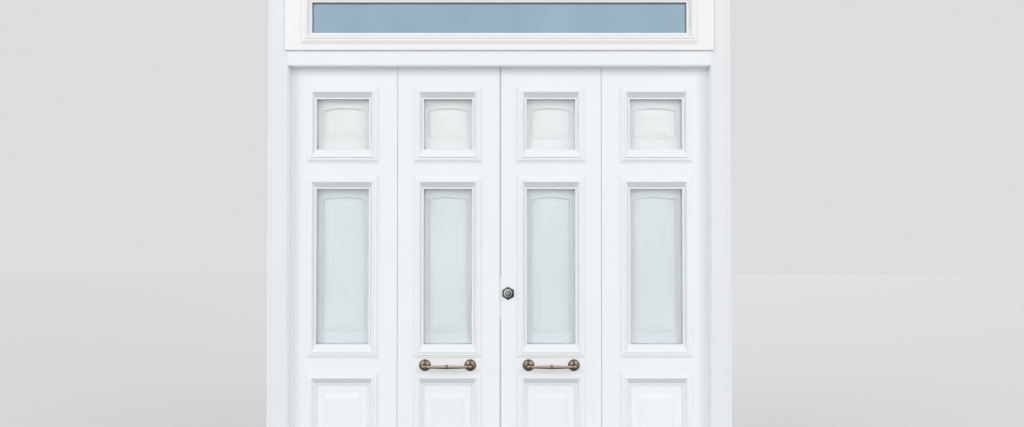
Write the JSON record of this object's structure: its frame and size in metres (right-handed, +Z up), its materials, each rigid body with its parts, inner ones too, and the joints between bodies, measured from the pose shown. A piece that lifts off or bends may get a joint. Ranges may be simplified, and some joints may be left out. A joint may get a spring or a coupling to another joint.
{
  "type": "folding french door set",
  "caption": "Folding leaves with glazed panes, fielded panels, inner shutters, pull handles and a lock, in a frame with a top-hung transom light.",
  "frame": {"origin": "centre of the threshold's underside, midway through the frame's depth", "axes": "+X to the right seen from the street, +Y from the street to the room, +Z up"},
  "size_m": [2, 0.1645, 2.67],
  "materials": {
    "white_paint": "satin white paint",
    "painted_steel": "white painted steel",
    "steel": "satin",
    "seal": "matt grey",
    "glass_tinted": "blue-grey tinted glass",
    "glass_clear": "clear glass with a faint green tint",
    "aged_brass": "aged brass",
    "dark_steel": "dark satin steel"
  },
  "bodies": {
    "frame": {"frame_jamb_left": "white_paint", "frame_jamb_right": "white_paint", "frame_head": "white_paint", "transom_bar": "white_paint", "threshold": "white_paint", "bolt_keeps": "steel", "frame_seals": "seal", "frame_hinges": "painted_steel", "transom_hinges": "painted_steel"},
    "transom": {"transom_sash": "white_paint", "transom_glass": "glass_tinted", "transom_moulding": "white_paint", "transom_sash_hinges": "painted_steel"},
    "leaf_1": {"leaf_1_frame": "white_paint", "leaf_1_mouldings": "white_paint", "leaf_1_bottom_panel": "white_paint", "leaf_1_small_pane": "glass_clear", "leaf_1_tall_pane": "glass_clear", "leaf_1_hinges": "painted_steel", "leaf_1_bolt_guides": "steel"},
    "leaf_2": {"leaf_2_frame": "white_paint", "leaf_2_mouldings": "white_paint", "leaf_2_bottom_panel": "white_paint", "leaf_2_small_pane": "glass_clear", "leaf_2_tall_pane": "glass_clear", "leaf_2_hinges": "painted_steel", "leaf_2_bolt_guides": "steel", "pull_handle_left": "aged_brass", "strike_plate": "steel"},
    "leaf_3": {"leaf_3_frame": "white_paint", "leaf_3_mouldings": "white_paint", "leaf_3_bottom_panel": "white_paint", "leaf_3_small_pane": "glass_clear", "leaf_3_tall_pane": "glass_clear", "leaf_3_hinges": "painted_steel", "pull_handle_right": "aged_brass", "lock_escutcheon": "dark_steel", "lock_cylinder": "steel", "lock_rose": "aged_brass", "lock_case": "steel"},
    "leaf_4": {"leaf_4_frame": "white_paint", "leaf_4_mouldings": "white_paint", "leaf_4_bottom_panel": "white_paint", "leaf_4_small_pane": "glass_clear", "leaf_4_tall_pane": "glass_clear", "leaf_4_hinges": "painted_steel", "leaf_4_bolt_guides": "steel"},
    "shutter_1": {"shutter_1": "white_paint"},
    "shutter_2": {"shutter_2": "white_paint"},
    "shutter_3": {"shutter_3": "white_paint"},
    "shutter_4": {"shutter_4": "white_paint"},
    "lock_plug": {"lock_plug": "steel", "thumb_turn": "aged_brass"},
    "deadbolt": {"deadbolt": "steel"},
    "bolt_1_top": {"bolt_1_top": "steel"},
    "bolt_1_bottom": {"bolt_1_bottom": "steel"},
    "bolt_2_top": {"bolt_2_top": "steel"},
    "bolt_2_bottom": {"bolt_2_bottom": "steel"},
    "bolt_4_top": {"bolt_4_top": "steel"},
    "bolt_4_bottom": {"bolt_4_bottom": "steel"}
  },
  "joints": [
    {"name": "transom_swing", "type": "hinge", "parent": "frame", "child": "transom", "pos_m": [0, -0.068, 2.605], "axis": [-1, 0, 0], "range_deg": [0, 30]},
    {"name": "leaf_1_swing", "type": "hinge", "parent": "frame", "child": "leaf_1", "pos_m": [-0.93, 0.066, 0], "axis": [0, 0, 1], "range_deg": [0, 90]},
    {"name": "leaf_2_fold", "type": "hinge", "parent": "leaf_1", "child": "leaf_2", "pos_m": [-0.456, 0.066, 0], "axis": [0, 0, 1], "range_deg": [0, 170]},
    {"name": "leaf_4_swing", "type": "hinge", "parent": "frame", "child": "leaf_4", "pos_m": [0.93, 0.066, 0], "axis": [0, 0, -1], "range_deg": [0, 90]},
    {"name": "leaf_3_fold", "type": "hinge", "parent": "leaf_4", "child": "leaf_3", "pos_m": [0.456, 0.066, 0], "axis": [0, 0, -1], "range_deg": [0, 170]},
    {"name": "shutter_1_swing", "type": "hinge", "parent": "leaf_1", "child": "shutter_1", "pos_m": [-0.815, 0.0633, 0], "axis": [0, 0, -1], "range_deg": [-165, 0]},
    {"name": "shutter_2_swing", "type": "hinge", "parent": "leaf_2", "child": "shutter_2", "pos_m": [-0.3455, 0.0633, 0], "axis": [0, 0, -1], "range_deg": [-165, 0]},
    {"name": "shutter_3_swing", "type": "hinge", "parent": "leaf_3", "child": "shutter_3", "pos_m": [0.3455, 0.0633, 0], "axis": [0, 0, 1], "range_deg": [-165, 0]},
    {"name": "shutter_4_swing", "type": "hinge", "parent": "leaf_4", "child": "shutter_4", "pos_m": [0.815, 0.0633, 0], "axis": [0, 0, 1], "range_deg": [-165, 0]},
    {"name": "lock_turn", "type": "hinge", "parent": "leaf_3", "child": "lock_plug", "pos_m": [0.038, 0, 1.263], "axis": [0, -1, 0], "range_deg": [0, 180]},
    {"name": "deadbolt_slide", "type": "slide", "parent": "leaf_3", "child": "deadbolt", "axis": [-1, 0, 0], "range_m": [0, 0.02]},
    {"name": "bolt_1_top_slide", "type": "slide", "parent": "leaf_1", "child": "bolt_1_top", "axis": [0, 0, 1], "range_m": [0, 0.025]},
    {"name": "bolt_1_bottom_slide", "type": "slide", "parent": "leaf_1", "child": "bolt_1_bottom", "axis": [0, 0, -1], "range_m": [0, 0.025]},
    {"name": "bolt_2_top_slide", "type": "slide", "parent": "leaf_2", "child": "bolt_2_top", "axis": [0, 0, 1], "range_m": [0, 0.025]},
    {"name": "bolt_2_bottom_slide", "type": "slide", "parent": "leaf_2", "child": "bolt_2_bottom", "axis": [0, 0, -1], "range_m": [0, 0.025]},
    {"name": "bolt_4_top_slide", "type": "slide", "parent": "leaf_4", "child": "bolt_4_top", "axis": [0, 0, 1], "range_m": [0, 0.025]},
    {"name": "bolt_4_bottom_slide", "type": "slide", "parent": "leaf_4", "child": "bolt_4_bottom", "axis": [0, 0, -1], "range_m": [0, 0.025]}
  ],
  "couplings": [
    {"joint": "lock_turn", "follows": "deadbolt_slide", "rad_per_m": 157.08}
  ]
}
